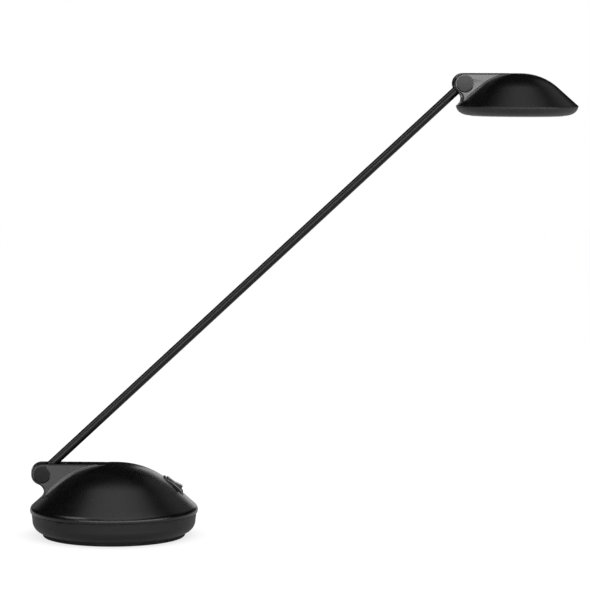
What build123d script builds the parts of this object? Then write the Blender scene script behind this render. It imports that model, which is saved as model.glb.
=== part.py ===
from build123d import *
from math import asin, atan2, cos, degrees, radians, sin, sqrt
import os

# Desk lamp: a weighted domed base, a tubular arm and a domed head, joined by
# two friction hinges. Millimetres, +Z up. The origin is the centre of the
# underside of the foot pad, the arm leans towards +X, hinge axes lie along Y.

# ---- base housing -----------------------------------------------------------
foot_inset = 1.4
foot_thickness = 3.6
foot_edge = 0.5
base_rim_radius = 75.5
base_rim_height = 23.4
base_rim_round = 5.5
base_cover_bottom = 21.6
base_top_height = 65.3
base_top_flat = 4.0
base_flank_angle = 42.0
base_wall = 2.5
hollow_steps = 4
tray_inset = 1.2
tray_taper = 0.9
tray_wall = 2.5
tray_waist_height = 14.2
tray_round = 11.0
tray_floor = 3.0
tray_reveal = 0.7
tray_lip_height = 2.6
lip_clearance = 0.25

# ---- head housing (measured from the centre of its rim plane) ---------------
head_rim_radius = 55.3
head_rim_height = 0.4
head_rim_round = 0.6
head_dome_height = 30.1
head_top_flat = 3.0
head_flank_angle = 41.6
head_wall = 2.2
bowl_depth = 7.8
bowl_side_depth = 5.0
bowl_wall = 1.8
bowl_edge = 0.4
bowl_round = 5.0

# ---- arm --------------------------------------------------------------------
arm_length = 515.9
arm_angle = 42.73
arm_diameter = 8.0
arm_wall = 1.0
arm_lowest = 10.0
arm_highest = 70.0
head_nose_down = 12.0
head_nose_up = 95.0

# ---- friction hinges --------------------------------------------------------
base_pivot_inset = 10.7
head_pivot_inset = 6.4
base_block_rise = 0.9
head_block_rise = 0.0
hinge_radius = 9.5
hinge_width = 19.6
hinge_edge_round = 1.3
base_neck_radius = 8.0
head_neck_radius = 6.0
neck_sink = 0.35
block_end_reach = 8.0
block_end_drop = 1.3
slot_width = 9.4
slot_clearance = 0.4
slot_margin_angle = 0.6
slot_wall = 2.4
slot_end_clearance = 0.6
knuckle_radius = 7.4
knuckle_width = 7.6
friction_washer_radius = 7.0
friction_washer_thickness = 0.8
bolt_radius = 2.0
bolt_clearance = 0.05
bolt_head_radius = 3.5
bolt_head_height = 1.5
spring_washer_radius = 3.5
spring_washer_thickness = 0.6
ear_inner_wall = 1.5
nut_across_flats = 7.0
nut_thickness = 2.0
pocket_clearance = 0.3
cap_radius = 7.8
cap_thickness = 1.2
cap_sink = 0.2
cap_clearance = 0.1
cap_edge = 0.35
tube_start = 7.8
spigot_length = 18.0
spigot_clearance = 0.05
wire_hole_radius = 1.6
knuckle_screw_reach = 15.0
knuckle_screw_radius = 1.25
screw_clearance = 0.05
lead_radius = 1.2
lead_bend = 5.0
core_end = 8.0

# ---- ballast and fixings ----------------------------------------------------
ballast_clearance = 2.7
ballast_thickness = 15.0
ballast_corner = 2.0
ballast_notch_width = 16.0
ballast_notch_depth = 6.0
boss_count = 3
boss_inset = 29.5
boss_radius = 4.2
boss_gap = 0.3
boss_first_angle = 90.0
tray_screw_radius = 1.5
tray_screw_head_radius = 2.8
tray_screw_head_height = 1.6
tray_screw_bite = 10.0
ballast_screw_count = 2
ballast_screw_reach = 30.0
ballast_screw_radius = 2.0
ballast_screw_head_radius = 3.5
ballast_screw_bite = 9.0
through_clearance = 0.3

# ---- driver electronics -----------------------------------------------------
board_end_inset = 44.5
board_width = 40.0
board_thickness = 1.6
board_height = 5.0
board_centre = -6.0
post_inset = 4.0
post_radius = 3.0
post_pin_radius = 1.4
post_head_radius = 1.9
post_head_height = 1.2
post_pin_clearance = 0.1
transformer_share = 0.32
transformer_width = 18.0
transformer_height = 15.0
transformer_gap = 1.0
capacitor_count = 2
capacitor_share = 0.08
capacitor_height = 16.0
capacitor_spacing = 12.0
capacitor_gap = 1.0
terminal_length = 8.0
terminal_width = 20.0
terminal_height = 9.0
terminal_ways = 4

# ---- rocker switch (measured from its seat on the cover) --------------------
switch_inset = 22.2
switch_slope = 38.5
switch_pad_rise = 0.1
switch_pad_margin = 0.6
bezel_length = 21.0
bezel_width = 15.0
bezel_height = 1.0
bezel_round = 1.2
bezel_edge_round = 0.4
switch_body_length = 18.8
switch_body_width = 12.8
switch_body_depth = 14.0
switch_cutout_clearance = 0.1
rocker_radius = 8.3
rocker_width = 10.6
rocker_side_gap = 0.3
rocker_end_gap = 0.3
rocker_pivot_height = 0.3
rocker_crest = 3.0
rocker_dip = 2.2
rocker_keel = 3.6
rocker_travel = 13.0
rocker_pin_radius = 1.2
rocker_pin_clearance = 0.06
rocker_pin_bite = 0.7
rocker_floor_gap = 0.9
blade_count = 2
blade_spacing = 9.0
blade_length = 6.5
blade_width = 4.8
blade_thickness = 0.8
switch_lead_radius = 0.9
switch_lead_drop = 3.5
switch_lead_spread = 6.0
switch_lead_rise = 6.0
switch_lead_bend = 2.0

# ---- cord inlet -------------------------------------------------------------
inlet_height = 14.0
inlet_turn = 30.0
inlet_bore_radius = 3.1
inlet_barrel_radius = 4.9
inlet_flange_radius = 5.8
inlet_flange_thickness = 1.6
inlet_barrel_length = 6.0
inlet_clearance = 0.1
inlet_seat_depth = 1.2
inlet_edge = 0.5

# ---- light unit (measured from the head's rim plane) ------------------------
diffuser_inset = 13.0
diffuser_clearance = 0.15
diffuser_thickness = 1.8
diffuser_edge = 0.6
flange_inset = 20.0
flange_thickness = 1.6
spreader_inset = 9.0
spreader_thickness = 2.0
light_board_clearance = 1.5
light_board_thickness = 1.6
chip_count = 12
chip_inset = 11.5
chip_size = 2.8
chip_height = 0.7
reflector_wall = 0.8
reflector_seat = 3.0
head_boss_inset = 16.5
head_lead_reach = 20.0
head_lead_hole_radius = 2.5
head_boss_radius = 3.4
head_screw_radius = 1.25
head_screw_head_radius = 2.4
head_screw_head_height = 1.4
head_screw_bite = 7.0

# ---- worked out from the sizes above ----------------------------------------
tray_top_radius = base_rim_radius - tray_inset
tray_waist_radius = tray_top_radius - tray_taper
tray_round_reach = tray_waist_radius - tray_round
base_pivot_reach = base_rim_radius - base_pivot_inset
head_pivot_reach = head_rim_radius - head_pivot_inset
boss_reach = base_rim_radius - boss_inset
switch_reach = base_rim_radius - switch_inset
board_length = 2 * (base_rim_radius - board_end_inset)
transformer_length = transformer_share * board_length
capacitor_radius = capacitor_share * board_length
diffuser_radius = head_rim_radius - diffuser_inset
flange_inner_radius = head_rim_radius - flange_inset
spreader_radius = head_rim_radius - spreader_inset
light_board_radius = flange_inner_radius - light_board_clearance
chip_circle_radius = light_board_radius - chip_inset
reflector_top_radius = light_board_radius - reflector_seat
reflector_low_radius = diffuser_radius - reflector_seat
head_boss_reach = head_rim_radius - head_boss_inset
tray_bottom = foot_thickness
ballast_bottom = tray_bottom + tray_floor
ballast_top = ballast_bottom + ballast_thickness
tray_drop = tray_waist_height - tray_bottom
tray_foot_radius = tray_round_reach + sqrt(tray_round**2 - tray_drop**2)
foot_radius = tray_foot_radius - foot_inset
tray_hollow_round = tray_round - tray_wall
tray_hollow_drop = tray_waist_height - ballast_bottom
ballast_radius = tray_round_reach + sqrt(tray_hollow_round**2 - tray_hollow_drop**2) - ballast_clearance
base_pivot_x = -base_pivot_reach
base_pivot_z = base_top_height + base_block_rise - hinge_radius
arm_rise = radians(arm_angle)
head_pivot_x = base_pivot_x + arm_length * cos(arm_rise)
head_pivot_z = base_pivot_z + arm_length * sin(arm_rise)
head_x = head_pivot_x + head_pivot_reach
head_pivot_height = head_dome_height + head_block_rise - hinge_radius
head_z = head_pivot_z - head_pivot_height
base_slot_angles = (arm_angle - arm_lowest, arm_angle + arm_highest)
head_slot_angles = (arm_angle + 180.0 - head_nose_up, arm_angle + 180.0 + head_nose_down)
ear_floor = slot_width / 2 + ear_inner_wall
cap_floor = hinge_width / 2 - cap_thickness - cap_sink
slot_radius = knuckle_radius + slot_end_clearance
strip_half_width = arm_diameter / 2 + slot_clearance
tube_inner_radius = arm_diameter / 2 - arm_wall
board_bottom = ballast_top + board_height
board_top = board_bottom + board_thickness

arm_place = Pos(base_pivot_x, 0, base_pivot_z) * Rot(0, -arm_angle, 0)
head_place = Pos(head_x, 0, head_z)
inlet_place = Rot(0, 0, -inlet_turn)


# ---- shared shapes ----------------------------------------------------------
class Dome:
    """A domed cover: level top, round shoulder, straight flank, rounded rim."""

    def __init__(self, rim_radius, rim_height, rim_round, bottom, top_flat, top_height, flank_angle):
        self.rim_radius = rim_radius
        self.rim_height = rim_height
        self.rim_round = rim_round
        self.bottom = bottom
        self.top_flat = top_flat
        self.top_height = top_height
        self.across = sin(radians(flank_angle))
        self.along = cos(radians(flank_angle))
        rim_centre = self.across * (rim_radius - rim_round) + self.along * rim_height
        self.flank = rim_centre + rim_round
        spare = self.flank - self.across * top_flat - self.along * top_height
        self.shoulder = spare / (1 - self.along)

    def height_at(self, radius, inset=0.0):
        """Height of the surface, moved inwards by inset, at a radius."""
        shoulder = self.shoulder - inset
        if radius <= self.top_flat:
            return self.top_height - inset
        if radius <= self.top_flat + shoulder * self.across:
            run = radius - self.top_flat
            return self.top_height - self.shoulder + sqrt(shoulder**2 - run**2)
        return (self.flank - inset - self.across * radius) / self.along

    def crown(self, inset=0.0):
        """Level top, shoulder arc and the start of the flank, from the axis out."""
        shoulder = self.shoulder - inset
        centre = (self.top_flat, self.top_height - self.shoulder)
        half = (1 + self.along) / 2
        middle = (sqrt(1 - half) , sqrt(half))
        top = (self.top_flat, self.top_height - inset)
        bend = (centre[0] + shoulder * middle[0], centre[1] + shoulder * middle[1])
        end = (centre[0] + shoulder * self.across, centre[1] + shoulder * self.along)
        level = Line((0, top[1]), top)
        arc = ThreePointArc(top, bend, end)
        return level, arc, end

    def outer(self):
        """The full solid under the outer surface."""
        level, arc, shoulder_end = self.crown()
        centre = (self.rim_radius - self.rim_round, self.rim_height)
        drop = self.rim_height - self.bottom
        tangent = (centre[0] + self.rim_round * self.across, centre[1] + self.rim_round * self.along)
        widest = (self.rim_radius, self.rim_height)
        edge = (centre[0] + sqrt(self.rim_round**2 - drop**2), self.bottom)
        flank = Line(shoulder_end, tangent)
        rim = ThreePointArc(tangent, widest, edge)
        close = Polyline(edge, (0, self.bottom), (0, self.top_height))
        return revolve(Plane.XZ * make_face([level, arc, flank, rim, close]), Axis.Z)

    def inner(self, wall, below=5.0):
        """The hollow that leaves the given wall, open downwards."""
        shoulder = self.shoulder - wall
        centre_height = self.top_height - self.shoulder
        bends = []
        for n in range(hollow_steps + 1):
            angle = asin(self.across) * n / hollow_steps
            bends.append((self.top_flat + shoulder * sin(angle), centre_height + shoulder * cos(angle)))
        side = self.rim_radius - wall
        corner = (side, self.height_at(side, wall))
        low = min(self.bottom - below, corner[1] - below)
        outline = [(0, self.top_height - wall)] + bends + [corner, (side, low), (0, low)]
        return revolve(Plane.XZ * make_face(Polyline(*outline, close=True)), Axis.Z)


def tube(outer, inner, low, high):
    """A ring, or a disc where inner is 0, from one height to another."""
    height = high - low
    body = Cylinder(outer, height)
    if inner > 0:
        body -= Cylinder(inner, height)
    return Pos(0, 0, (low + high) / 2) * body


def rod_y(radius, start, end, x=0.0, z=0.0):
    """A round bar along Y."""
    return Pos(x, (start + end) / 2, z) * Rot(90, 0, 0) * Cylinder(radius, abs(end - start))


def rod_x(radius, start, end, y=0.0, z=0.0):
    """A round bar along X."""
    return Pos((start + end) / 2, y, z) * Rot(0, 90, 0) * Cylinder(radius, abs(end - start))


def prism_y(points, half_width):
    """A straight-sided outline in XZ, drawn out to both sides along Y."""
    return extrude(Plane.XZ * make_face(Polyline(*points, close=True)), half_width, both=True)


def around(count, reach, first=0.0):
    """Places on a circle about Z."""
    step = 360.0 / count
    return [Rot(0, 0, first + step * n) * Pos(reach, 0, 0) for n in range(count)]


def turn(angle, length=1.0):
    """The step of the given length in a direction in XZ, measured from +X."""
    return length * cos(radians(angle)), length * sin(radians(angle))


def wire(points, bend, radius):
    """A round lead along straight runs joined by arcs."""
    path = FilletPolyline(*points, radius=bend)
    section = Plane(path @ 0, z_dir=path % 0) * Circle(radius)
    return sweep(section, path=path)


def join(parts):
    """All the solids of a group as one shape."""
    return Compound(children=list(parts))


def cover_bosses(dome, wall, places, radius, bottom):
    """Screw bosses that hang from the inside of a dome."""
    room = dome.inner(wall / 2)
    return [(place * tube(radius, 0, bottom, dome.top_height)) & room for place in places]


# ---- friction hinge ---------------------------------------------------------
def hinge_block(dome, reach, rise, neck_radius):
    """The block with rounded end that stands out of a dome to hold the hinge."""
    height = dome.top_height + rise - hinge_radius
    out = dome.across * reach + dome.along * height - (dome.flank - neck_sink)
    normal_step = neck_radius - out
    slope_step = sqrt((hinge_radius + neck_radius) ** 2 - normal_step**2)
    neck_reach = reach + normal_step * dome.across + slope_step * dome.along
    neck_height = height + normal_step * dome.along - slope_step * dome.across
    share = hinge_radius / (hinge_radius + neck_radius)
    neck_top = (-(reach + share * (neck_reach - reach)), height + share * (neck_height - height))
    neck_foot = (-(neck_reach - neck_radius * dome.across), neck_height - neck_radius * dome.along)
    hollow_angle = degrees(atan2(neck_top[1] - neck_height, neck_top[0] + neck_reach))
    foot_angle = degrees(atan2(neck_foot[1] - neck_height, neck_foot[0] + neck_reach))
    dx, dz = turn((hollow_angle + foot_angle) / 2, neck_radius)
    neck_middle = (-neck_reach + dx, neck_height + dz)
    inside = (neck_foot[0] + 4 * dome.across, neck_foot[1] - 4 * dome.along)
    crown_tilt = degrees(atan2(rise, reach - block_end_reach))
    crown_dx, crown_dz = turn(90 - crown_tilt, hinge_radius)
    crown_start = (-reach + crown_dx, height + crown_dz)
    level_end = (-block_end_reach, dome.top_height)
    end = (block_end_reach, dome.top_height - block_end_drop)
    outline = [
        Polyline(neck_foot, inside, (end[0], inside[1]), end, level_end, crown_start),
        ThreePointArc(crown_start, (-reach - hinge_radius, height), neck_top),
        ThreePointArc(neck_top, neck_middle, neck_foot),
    ]
    block = extrude(Plane.XZ * make_face(outline), hinge_width / 2, both=True)
    rims = [
        edge
        for edge in block.edges()
        if abs(abs(edge.center().Y) - hinge_width / 2) < 0.01
        and (edge.geom_type == GeomType.CIRCLE or edge.center().Z > end[1])
    ]
    return fillet(rims, hinge_edge_round)


def hinge_slot(x, z, angles, half_width, extra=0.0):
    """The room in which the knuckle and the arm swing."""
    low = angles[0] - slot_margin_angle
    high = angles[1] + slot_margin_angle
    side = strip_half_width + extra
    reach = 6 * hinge_radius
    low_dx, low_dz = turn(low, reach)
    high_dx, high_dz = turn(high, reach)
    right_dx, right_dz = turn(low - 90, side)
    left_dx, left_dz = turn(high + 90, side)
    middle_dx, middle_dz = turn((low + high) / 2, reach)
    points = [
        (x, z),
        (x + right_dx, z + right_dz),
        (x + right_dx + low_dx, z + right_dz + low_dz),
        (x + middle_dx * 2, z + middle_dz * 2),
        (x + left_dx + high_dx, z + left_dz + high_dz),
        (x + left_dx, z + left_dz),
    ]
    barrel = rod_y(slot_radius + extra, -half_width, half_width, x, z)
    return prism_y(points, half_width) + barrel


def block_core(dome, reach, rise, angles, wall):
    """The hollow that lightens a hinge block from below, clear of its slot."""
    x = -reach
    z = dome.top_height + rise - hinge_radius
    left = -(reach - hinge_radius)
    top = dome.top_height - wall
    low = dome.height_at(-left, wall) - wall
    points = [(left, low), (-core_end, low), (-core_end, top), (left, top)]
    half = hinge_width / 2 - wall
    return prism_y(points, half) - hinge_slot(x, z, angles, half + 1, slot_wall)


def ear_cuts(x, z):
    """Bolt bore, head and nut pockets and cap recesses of one hinge."""
    half = hinge_width / 2
    cuts = rod_y(bolt_radius + bolt_clearance, -half, half, x, z)
    for side in (-1, 1):
        cuts += rod_y(cap_radius + cap_clearance, side * cap_floor, side * (half + 1), x, z)
    cuts += rod_y(bolt_head_radius + pocket_clearance, -ear_floor, -half, x, z)
    flats = nut_across_flats + pocket_clearance
    hexagon = RegularPolygon(flats / 2, 6, major_radius=False)
    pocket = extrude(Plane.XZ * hexagon, -half)
    return cuts + Pos(x, ear_floor, z) * pocket


def hinge_hardware(x, z):
    """Bolt, nut, spring washer, friction washers and caps of one hinge."""
    under_head = -(ear_floor + spring_washer_thickness)
    bolt = rod_y(bolt_radius, under_head, ear_floor + nut_thickness, x, z)
    bolt += rod_y(bolt_head_radius, under_head - bolt_head_height, under_head, x, z)
    socket = extrude(Plane.XZ * RegularPolygon(1.25, 6, major_radius=False), -1.0)
    bolt -= Pos(x, under_head - bolt_head_height, z) * socket
    nut = extrude(Plane.XZ * RegularPolygon(nut_across_flats / 2, 6, major_radius=False), -nut_thickness)
    nut = Pos(x, ear_floor, z) * nut
    nut -= rod_y(bolt_radius, 0, hinge_width, x, z)
    spring = rod_y(spring_washer_radius, -ear_floor, under_head, x, z)
    spring -= rod_y(bolt_radius + bolt_clearance, -hinge_width, 0, x, z)
    washers = []
    caps = []
    gap = (slot_width - knuckle_width) / 2
    middle = knuckle_width / 2 + gap / 2
    for side in (-1, 1):
        near = side * (middle - friction_washer_thickness / 2)
        far = side * (middle + friction_washer_thickness / 2)
        washer = rod_y(friction_washer_radius, near, far, x, z)
        washer -= rod_y(bolt_radius + bolt_clearance, near - side, far + side, x, z)
        washers.append(washer)
        face = side * (cap_floor + cap_thickness)
        cap = rod_y(cap_radius, side * cap_floor, face, x, z)
        outer = [e for e in cap.edges() if abs(e.center().Y - face) < 0.01]
        caps.append(chamfer(outer, cap_edge))
    return {
        "pivot_bolt": bolt,
        "pivot_nut": nut,
        "spring_washer": spring,
        "friction_washers": join(washers),
        "pivot_caps": join(caps),
    }


def knuckle():
    """The arm's end piece, with its pivot at the origin and the tube along +X."""
    half = knuckle_width / 2
    body = rod_y(knuckle_radius, -half, half)
    body += rod_x(arm_diameter / 2 - 0.3, 0, tube_start)
    body += rod_x(tube_inner_radius - spigot_clearance, tube_start - 1, tube_start + spigot_length)
    body -= rod_y(bolt_radius + bolt_clearance, -half - 1, half + 1)
    exit_x = bolt_radius + wire_hole_radius + 1.4
    body -= rod_x(wire_hole_radius, exit_x, tube_start + spigot_length + 1)
    body -= Pos(exit_x, 0, -knuckle_radius / 2) * Cylinder(wire_hole_radius, knuckle_radius)
    return body - knuckle_screw_bar(screw_clearance)


def knuckle_screw_bar(extra=0.0):
    """The grub screw that holds tube and knuckle together, on the underside."""
    outer = arm_diameter / 2 - 0.2
    inner = wire_hole_radius + 0.15
    low = -outer - (1 if extra else 0)
    return Pos(knuckle_screw_reach, 0, (low - inner) / 2) * Cylinder(
        knuckle_screw_radius + extra, -inner - low
    )


# ---- arm --------------------------------------------------------------------
def flip_end():
    """Carries a piece of the lower knuckle to the upper end of the arm."""
    return Pos(arm_length, 0, 0) * Rot(0, 0, 180)


def arm_tube():
    """The straight tube with its two grub screw holes."""
    end = arm_length - tube_start
    body = rod_x(arm_diameter / 2, tube_start, end) - rod_x(tube_inner_radius, tube_start - 1, end + 1)
    screw = knuckle_screw_bar(screw_clearance)
    return body - screw - flip_end() * screw


def arm_lead():
    """The lead inside the tube, from one knuckle's exit to the other's."""
    start = tube_start
    return rod_x(lead_radius, start, arm_length - start)


# ---- base -------------------------------------------------------------------
base_dome = Dome(
    base_rim_radius,
    base_rim_height,
    base_rim_round,
    base_cover_bottom,
    base_top_flat,
    base_top_height,
    base_flank_angle,
)
switch_height = base_dome.height_at(switch_reach)
switch_place = Pos(switch_reach, 0, switch_height) * Rot(0, switch_slope, 0)
rocker_place = switch_place * Pos(0, 0, switch_pad_rise + bezel_height + rocker_pivot_height - 1.0)
lead_exit_x = base_pivot_x + 3.0


def base_boss_places():
    """Where the three long screws stand."""
    return around(boss_count, boss_reach, boss_first_angle)


def base_cover():
    """Domed shell with hinge block, slot, screw bosses and switch opening."""
    shell = base_dome.outer() + hinge_block(base_dome, base_pivot_reach, base_block_rise, base_neck_radius)
    pad_length = bezel_length + switch_pad_margin
    pad_width = bezel_width + switch_pad_margin
    pad_depth = 3 * base_wall
    pad = Box(pad_length, pad_width, pad_depth)
    shell += switch_place * Pos(0, 0, switch_pad_rise - pad_depth / 2) * pad
    shell -= base_dome.inner(base_wall)
    shell += cover_bosses(base_dome, base_wall, base_boss_places(), boss_radius, ballast_top + boss_gap)
    shell -= block_core(base_dome, base_pivot_reach, base_block_rise, base_slot_angles, base_wall)
    shell -= hinge_slot(base_pivot_x, base_pivot_z, base_slot_angles, slot_width / 2)
    shell -= ear_cuts(base_pivot_x, base_pivot_z)
    hole_top = base_pivot_z - slot_radius + 1
    hole_low = base_dome.height_at(-lead_exit_x, base_wall) - base_wall
    shell -= Pos(lead_exit_x, 0, (hole_top + hole_low) / 2) * Cylinder(
        lead_radius + through_clearance + 0.5, hole_top - hole_low
    )
    opening = Box(
        switch_body_length + 2 * switch_cutout_clearance,
        switch_body_width + 2 * switch_cutout_clearance,
        4 * pad_depth,
    )
    shell -= switch_place * opening
    for place in base_boss_places():
        bottom = ballast_top + boss_gap
        shell -= place * tube(tray_screw_radius - 0.02, 0, bottom - 1, bottom + tray_screw_bite + 1)
    return shell


def tray_profile(inset, top, drop):
    """Side of the tray as a closed outline down to its flat bottom."""
    centre = (tray_round_reach, tray_waist_height)
    radius = tray_round - inset
    bottom = tray_bottom + drop
    reach = sqrt(radius**2 - (tray_waist_height - bottom) ** 2)
    low_angle = atan2(bottom - tray_waist_height, reach)
    middle_dx, middle_dz = turn(degrees(low_angle) / 2, radius)
    foot = (centre[0] + reach, bottom)
    waist = (centre[0] + radius, tray_waist_height)
    middle = (centre[0] + middle_dx, centre[1] + middle_dz)
    curve = Polyline(foot, middle, waist) if inset else ThreePointArc(foot, middle, waist)
    return [
        Line((0, bottom), foot),
        curve,
        Polyline(waist, (tray_top_radius - inset, top), (0, top), (0, bottom)),
    ]


def base_tray():
    """Dark lower housing with a locating lip, screw holes and inlet hole."""
    top = base_cover_bottom
    lip_outer = base_rim_radius - base_wall - lip_clearance
    body = revolve(Plane.XZ * make_face(tray_profile(0, top, 0)), Axis.Z)
    body += tube(lip_outer, 0, top, top + tray_lip_height)
    reveal_inner = lip_outer + lip_clearance + tray_reveal
    body -= tube(tray_top_radius + 1, reveal_inner, top - tray_reveal, top + 1)
    body -= revolve(Plane.XZ * make_face(tray_profile(tray_wall, top, tray_floor)), Axis.Z)
    body -= tube(lip_outer - tray_wall, 0, top - 1, top + tray_lip_height + 1)
    for place in base_boss_places():
        body -= place * tube(tray_screw_radius + through_clearance, 0, 0, top)
        body -= place * tube(
            tray_screw_head_radius + through_clearance, 0, 0, tray_bottom + tray_screw_head_height
        )
    for place in around(ballast_screw_count, ballast_screw_reach):
        body -= place * tube(ballast_screw_radius + through_clearance, 0, 0, top)
        body -= place * tube(
            ballast_screw_head_radius + through_clearance, 0, 0, tray_bottom + tray_screw_head_height
        )
    barrel = inlet_barrel_radius + inlet_clearance
    body -= inlet_place * rod_x(barrel, -base_rim_radius, -ballast_radius, 0, inlet_height)
    seat = inlet_flange_radius + inlet_clearance
    seat_end = -tray_waist_radius + inlet_seat_depth
    body -= inlet_place * rod_x(seat, -base_rim_radius - 1, seat_end, 0, inlet_height)
    return body


def foot_pad():
    """The non-slip disc under the whole tray."""
    disc = tube(foot_radius, 0, 0, foot_thickness)
    rim = [e for e in disc.edges() if abs(e.center().Z) < 0.01]
    return chamfer(rim, foot_edge)


def ballast_weight():
    """Cast disc that balances the arm and the head."""
    disc = tube(ballast_radius, 0, ballast_bottom, ballast_top)
    disc = chamfer([e for e in disc.edges() if e.length > ballast_radius], ballast_corner)
    notch = Box(2 * ballast_notch_depth, ballast_notch_width, 2 * ballast_thickness)
    disc -= inlet_place * Pos(-ballast_radius, 0, (ballast_bottom + ballast_top) / 2) * notch
    for place in base_boss_places():
        disc -= place * tube(tray_screw_radius + through_clearance, 0, 0, base_top_height)
    for place in around(ballast_screw_count, ballast_screw_reach):
        top = ballast_bottom + ballast_screw_bite
        disc -= place * tube(ballast_screw_radius, 0, 0, top)
    for place in post_places():
        disc -= place * tube(post_pin_radius, 0, ballast_top - 4, ballast_top + 1)
    return disc


def headed_screw(radius, head_radius, head_height, length):
    """A plain screw standing on its head, seen from below."""
    screw = tube(radius, 0, 0, length) + tube(head_radius, 0, 0, head_height)
    recess = extrude(RegularPolygon(head_radius / 2.2, 6), head_height / 2)
    return screw - recess


def tray_screws():
    """The long screws that clamp tray, ballast and cover."""
    length = ballast_top + boss_gap + tray_screw_bite - tray_bottom
    screw = headed_screw(tray_screw_radius - 0.05, tray_screw_head_radius, tray_screw_head_height - 0.1, length)
    return join(place * Pos(0, 0, tray_bottom + 0.1) * screw for place in base_boss_places())


def ballast_screws():
    """The two screws that hold the ballast on the tray."""
    length = tray_floor + ballast_screw_bite - 1
    head = tray_screw_head_height - 0.1
    screw = headed_screw(ballast_screw_radius - 0.05, ballast_screw_head_radius, head, length)
    places = around(ballast_screw_count, ballast_screw_reach)
    return join(place * Pos(0, 0, tray_bottom + 0.1) * screw for place in places)


# ---- electronics ------------------------------------------------------------
def post_places():
    """The four corners of the driver board."""
    dx = board_length / 2 - post_inset
    dy = board_width / 2 - post_inset
    return [Pos(board_centre + sx * dx, sy * dy, 0) for sx in (-1, 1) for sy in (-1, 1)]


def board_posts():
    """Snap posts that stand in the ballast and carry the driver board."""
    pin_top = board_top + post_head_height
    post = tube(post_radius, 0, ballast_top, board_bottom)
    post += tube(post_pin_radius - post_pin_clearance, 0, ballast_top - 3.5, pin_top)
    post += tube(post_head_radius, 0, board_top, pin_top)
    return join(place * post for place in post_places())


def driver_board():
    """The driver's circuit board with its post holes."""
    middle = Pos(board_centre, 0, (board_bottom + board_top) / 2)
    board = middle * Box(board_length, board_width, board_thickness)
    board = fillet(board.edges().filter_by(Axis.Z), 2)
    for place in post_places():
        board -= place * tube(post_pin_radius, 0, board_bottom - 1, board_top + 1)
    return board


terminal_x = board_centre - board_length / 2 + 2 * post_inset + terminal_length / 2
transformer_x = terminal_x + terminal_length / 2 + transformer_gap + transformer_length / 2
capacitor_x = transformer_x + transformer_length / 2 + capacitor_gap + capacitor_radius


def driver_transformer():
    """Ferrite core with its wound bobbin."""
    core = Box(transformer_length, transformer_width * 0.55, transformer_height)
    bobbin = Cylinder(transformer_width / 2, transformer_height * 0.6)
    shape = core + bobbin
    return Pos(transformer_x, 0, board_top + transformer_height / 2) * shape


def driver_capacitors():
    """Upright smoothing capacitors."""
    can = tube(capacitor_radius, 0, board_top, board_top + capacitor_height)
    can = chamfer([e for e in can.edges() if e.center().Z > board_top + capacitor_height - 0.1], 0.8)
    first = -capacitor_spacing * (capacitor_count - 1) / 2
    places = [Pos(capacitor_x, first + capacitor_spacing * n, 0) for n in range(capacitor_count)]
    return join(place * can for place in places)


def terminal_block():
    """Screw terminals for the supply and the lamp lead."""
    body = Box(terminal_length, terminal_width, terminal_height)
    body = Pos(terminal_x, 0, board_top + terminal_height / 2) * body
    pitch = terminal_width / terminal_ways
    for n in range(terminal_ways):
        y = pitch * (n + 0.5) - terminal_width / 2
        body -= Pos(terminal_x, y, board_top + terminal_height) * Cylinder(1.5, 4)
        body -= rod_x(1.3, terminal_x - terminal_length, terminal_x, y, board_top + 3)
    return body


# ---- switch -----------------------------------------------------------------
def switch_housing():
    """Bezel and body of the rocker switch, hollowed for the rocker."""
    floor = switch_pad_rise
    bezel = Pos(0, 0, floor + bezel_height / 2) * Box(bezel_length, bezel_width, bezel_height)
    bezel = fillet(bezel.edges().filter_by(Axis.Z), bezel_round)
    rim = [e for e in bezel.edges() if e.center().Z > floor + bezel_height - 0.01]
    bezel = fillet(rim, bezel_edge_round)
    body = Box(switch_body_length, switch_body_width, switch_body_depth)
    body = Pos(0, 0, floor - switch_body_depth / 2) * body
    return switch_place * (bezel + body) - rocker_place * rocker_room()


def rocker_room():
    """The space that the rocker swings in, with its two pin holes."""
    radius = rocker_radius + rocker_end_gap
    half = rocker_width / 2 + rocker_side_gap
    room = rod_y(radius, -half, half)
    floor = -rocker_keel - rocker_floor_gap
    room &= Pos(0, 0, floor + radius) * Box(4 * radius, 2 * half, 2 * radius)
    room += Pos(0, 0, radius / 2) * Box(2 * radius, 2 * half, radius)
    pin_half = half + rocker_pin_bite
    return room + rod_y(rocker_pin_radius + rocker_pin_clearance, -pin_half, pin_half)


def switch_rocker():
    """The rocker itself, resting pressed at its upper end."""
    lift = rocker_radius * sin(radians(rocker_travel / 2))
    half_length = sqrt(rocker_radius**2 - rocker_crest**2)
    keel_half = sqrt(rocker_radius**2 - rocker_keel**2)
    points = [
        (-keel_half, -rocker_keel + lift),
        (0, -rocker_keel),
        (keel_half, -rocker_keel + lift),
        (keel_half + 0.5, 0),
        (half_length, rocker_crest),
        (0, rocker_dip),
        (-half_length, rocker_crest),
        (-keel_half - 0.5, 0),
    ]
    half = rocker_width / 2
    body = prism_y(points, half) & rod_y(rocker_radius, -half, half)
    pin_half = half + rocker_side_gap + rocker_pin_bite - 0.1
    body += rod_y(rocker_pin_radius, -pin_half, pin_half)
    return rocker_place * Rot(0, -rocker_travel / 2, 0) * body


def switch_terminals():
    """Blade terminals under the switch."""
    low = switch_pad_rise - switch_body_depth
    blade = Box(blade_thickness, blade_width, blade_length)
    first = -blade_spacing * (blade_count - 1) / 2
    places = [Pos(first + blade_spacing * n, 0, low - blade_length / 2) for n in range(blade_count)]
    return join(switch_place * place * blade for place in places)


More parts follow.
